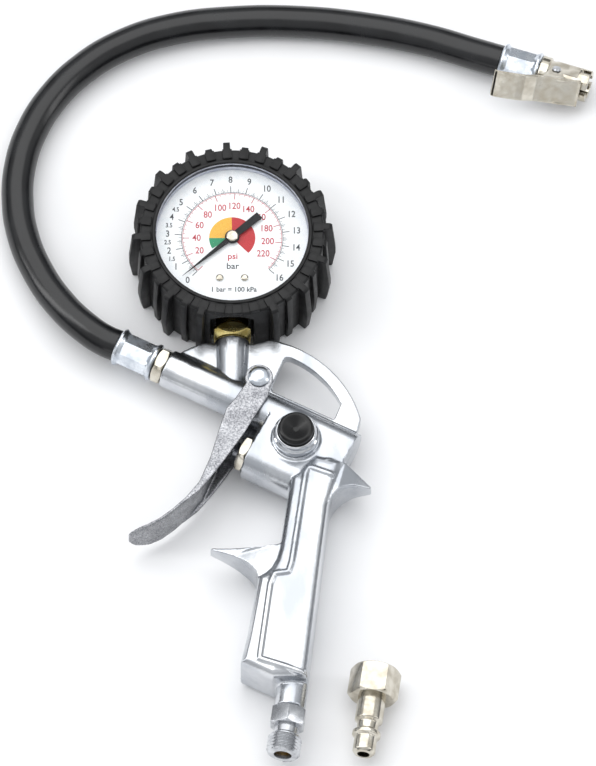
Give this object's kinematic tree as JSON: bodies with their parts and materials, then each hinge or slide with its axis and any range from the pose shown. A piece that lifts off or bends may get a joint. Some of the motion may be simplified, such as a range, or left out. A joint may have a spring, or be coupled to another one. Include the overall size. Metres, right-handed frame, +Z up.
{
  "type": "tyre inflator with gauge",
  "caption": "Pistol-grip tyre inflator: cast body with finger lever, dial gauge in a treaded rubber boot, short hose and clip-on chuck.",
  "frame": {"origin": "on the resting surface, under the middle of the object's box without the hose and chuck", "axes": "+Y from the inlet thread towards the gauge, +Z up out of the dial as the tool lies on its side, +X from the finger lever towards the grip's back"},
  "size_m": [0.2289, 0.3235, 0.032],
  "materials": {
    "casting": "die cast and polished",
    "zinc_plate": "bright zinc plate",
    "nickel_plate": "nickel plate, satin",
    "chrome_plate": "mirror chrome plate",
    "bright_trim": "bright plated ring",
    "lever_sheet": "stamped sheet, plated, tumbled grain",
    "steel": "plated steel",
    "case_steel": "black enamelled steel",
    "screw_nickel": "nickel plate",
    "brass": "machined brass",
    "boot_rubber": "matt moulded rubber",
    "seal_rubber": "nitrile rubber",
    "hose_rubber": "smooth glossy rubber",
    "button_plastic": "glossy moulded plastic",
    "pointer_black": "matt black paint",
    "dial_white": "white enamel with printed scales",
    "clear_plastic": "clear moulded window"
  },
  "bodies": {
    "gun": {"body_casting": "casting", "lever_rivet": "zinc_plate", "hose_ferrule": "zinc_plate", "chuck_ferrule": "zinc_plate", "hose_adapter": "nickel_plate", "packing_nut": "nickel_plate", "chuck_body": "nickel_plate", "deflate_collar": "chrome_plate", "bezel_ring": "bright_trim", "spacer_ring": "bright_trim", "inlet_fitting": "steel", "valve_spring": "steel", "deflate_spring": "steel", "clip_pin": "steel", "hairspring": "steel", "gauge_case": "case_steel", "dial_screw_left": "screw_nickel", "dial_screw_right": "screw_nickel", "gauge_socket": "brass", "bourdon_tube": "brass", "movement_back_plate": "brass", "movement_front_plate": "brass", "valve_seat": "brass", "inlet_filter": "brass", "core_pin": "brass", "rubber_boot": "boot_rubber", "stem_seal": "seal_rubber", "chuck_seal": "seal_rubber", "hose": "hose_rubber", "dial_plate": "dial_white", "lens": "clear_plastic"},
    "trigger": {"trigger_lever": "lever_sheet", "adjusting_screw": "steel", "adjuster_lock_nut": "steel"},
    "valve": {"valve_stem": "chrome_plate", "valve_poppet": "brass"},
    "deflate": {"deflate_button": "button_plastic", "deflate_pin": "steel", "deflate_seal": "seal_rubber"},
    "clip": {"clip_lever": "nickel_plate"},
    "sector": {"sector_gear": "brass"},
    "needle": {"pinion_arbor": "steel", "pointer": "pointer_black", "pointer_hub": "screw_nickel"},
    "loose_plug": {"quick_plug": "nickel_plate"}
  },
  "joints": [
    {"name": "trigger_hinge", "type": "hinge", "parent": "gun", "child": "trigger", "pos_m": [0.00127, 0.03016, 0.0115], "axis": [0, 0, 1], "range_deg": [0, 8.5], "stiffness_Nm_per_rad": 0.3, "springref_deg": -2.86},
    {"name": "valve_slide", "type": "slide", "parent": "gun", "child": "valve", "axis": [0.8926, -0.4509, 0], "range_m": [0, 0.0042], "deforming": ["valve_spring"]},
    {"name": "deflate_press", "type": "slide", "parent": "gun", "child": "deflate", "axis": [0, 0, -1], "range_m": [0, 0.002], "stiffness_N_per_m": 60, "springref_m": -0.002, "deforming": ["deflate_spring"]},
    {"name": "clip_hinge", "type": "hinge", "parent": "gun", "child": "clip", "pos_m": [0.11513, 0.162, 0.00995], "axis": [-0.1728, -0.5318, -0.829], "range_deg": [0, 14], "stiffness_Nm_per_rad": 0.05, "springref_deg": -5.73},
    {"name": "sector_swing", "type": "hinge", "parent": "gun", "child": "sector", "pos_m": [-0.0026, 0.07575, 0.0157], "axis": [0, 0, 1], "range_deg": [0, 36], "stiffness_Nm_per_rad": 0.0002},
    {"name": "needle_spin", "type": "hinge", "parent": "gun", "child": "needle", "pos_m": [-0.0091, 0.08705, 0.0269], "axis": [0, 0, -1], "range_deg": [0, 270]},
    {"name": "plug_lift", "type": "slide", "parent": "gun", "child": "loose_plug", "axis": [0, 0, 1], "range_m": [0, 0.06]}
  ],
  "couplings": [
    {"joint": "valve_slide", "follows": "trigger_hinge", "m_per_rad": 0.02775},
    {"joint": "needle_spin", "follows": "sector_swing", "ratio": 7.5}
  ]
}
